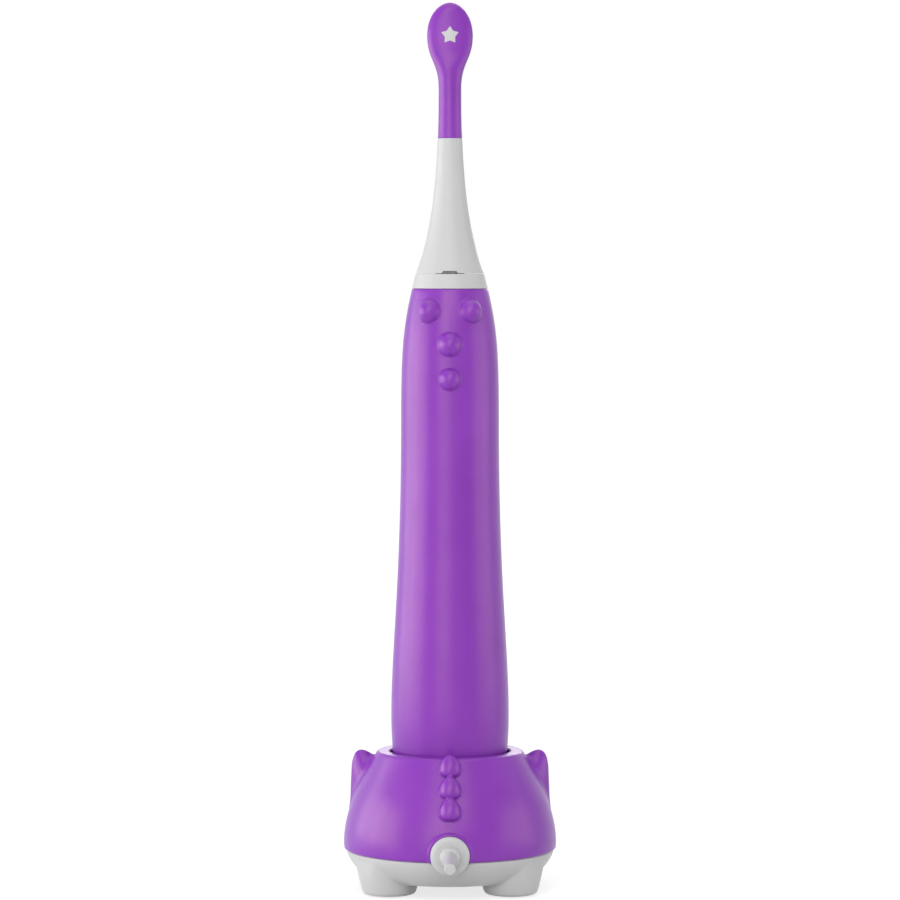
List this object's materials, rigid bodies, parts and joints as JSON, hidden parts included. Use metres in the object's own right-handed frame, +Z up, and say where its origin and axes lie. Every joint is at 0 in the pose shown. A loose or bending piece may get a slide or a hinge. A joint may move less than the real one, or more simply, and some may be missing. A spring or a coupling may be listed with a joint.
{
  "type": "electric toothbrush on charger",
  "caption": "Slim sonic toothbrush for a child, standing in a rounded creature-shaped inductive charger with ears, back spikes and stub feet.",
  "frame": {"origin": "on the standing surface, under the middle of the whole object's box; the brush's long axis stands 10.9 mm in front of it", "axes": "+Z up along the handle, +Y to the front where the bristles and the button are, -Y to the back where the cable outlet is, +X to the right seen from the back"},
  "size_m": [0.0544, 0.0762, 0.2261],
  "materials": {
    "purple_shell": "satin moulded plastic",
    "purple_soft": "soft overmoulded elastomer",
    "white_shell": "satin moulded plastic",
    "white_soft": "matt elastomer",
    "bristle": "nylon fibre",
    "grey_rubber": "matt",
    "dark_rubber": "matt",
    "eye_gloss": "high gloss",
    "inner_nylon": "natural nylon",
    "lens": "clear lens",
    "board_green": "solder mask",
    "chip_black": "moulded epoxy",
    "ferrite": "sintered",
    "copper_wire": "enamelled copper wire",
    "steel": "turned and plated",
    "nickel": "nickel plated",
    "cell_wrap": "shrink sleeve"
  },
  "bodies": {
    "charger": {"top_shell": "purple_shell", "base_shell": "white_shell", "seam_seal": "grey_rubber", "cable_gland": "white_shell", "strain_boot": "white_soft", "charger_board": "board_green", "primary_core": "ferrite", "primary_coil": "copper_wire", "board_capacitor": "steel", "coil_driver_chip": "chip_black", "eye_left": "eye_gloss", "eye_right": "eye_gloss", "foot_pad_1": "grey_rubber", "foot_pad_2": "grey_rubber", "foot_pad_3": "grey_rubber", "foot_pad_4": "grey_rubber", "foot_screw_1": "steel", "foot_screw_2": "steel", "foot_screw_3": "steel", "foot_screw_4": "steel"},
    "handle": {"handle_housing": "purple_shell", "collar_ring": "white_shell", "bottom_cap": "purple_shell", "cap_seal": "dark_rubber", "secondary_coil": "copper_wire", "inner_frame": "inner_nylon", "battery_cell": "cell_wrap", "cell_contact_low": "nickel", "cell_contact_top": "nickel", "motor_case": "steel", "bearing_low": "nickel", "bearing_top": "nickel", "stator_coil": "copper_wire", "shaft_seal": "dark_rubber", "logic_board": "board_green", "tact_switch": "chip_black", "logic_chip": "chip_black", "lamp_lens_1": "lens", "lamp_lens_2": "lens", "lamp_led_1": "inner_nylon", "lamp_led_2": "inner_nylon", "grip_nub_1": "purple_soft", "grip_nub_2": "purple_soft", "grip_nub_3": "purple_soft", "grip_nub_4": "purple_soft"},
    "drive_train": {"drive_shaft": "steel", "rotor_magnet_1": "nickel", "rotor_magnet_2": "nickel"},
    "power_button": {"power_button": "white_soft", "switch_plunger": "inner_nylon"},
    "brush_head": {"head_core": "white_shell", "head_cover": "purple_soft", "bristle_plate": "bristle", "shaft_socket": "inner_nylon"}
  },
  "joints": [
    {"name": "handle_lift", "type": "slide", "parent": "charger", "child": "handle", "axis": [0, 0, 1], "range_m": [0, 0.06]},
    {"name": "shaft_swing", "type": "hinge", "parent": "handle", "child": "drive_train", "pos_m": [0, 0.0109, 0.12], "axis": [0, 0, 1], "range_deg": [-5, 5], "stiffness_Nm_per_rad": 0.2},
    {"name": "head_pull", "type": "slide", "parent": "drive_train", "child": "brush_head", "axis": [0, 0, 1], "range_m": [0, 0.03]},
    {"name": "button_press", "type": "slide", "parent": "handle", "child": "power_button", "axis": [0, -1, 0], "range_m": [0, 0.0005], "stiffness_N_per_m": 300}
  ]
}
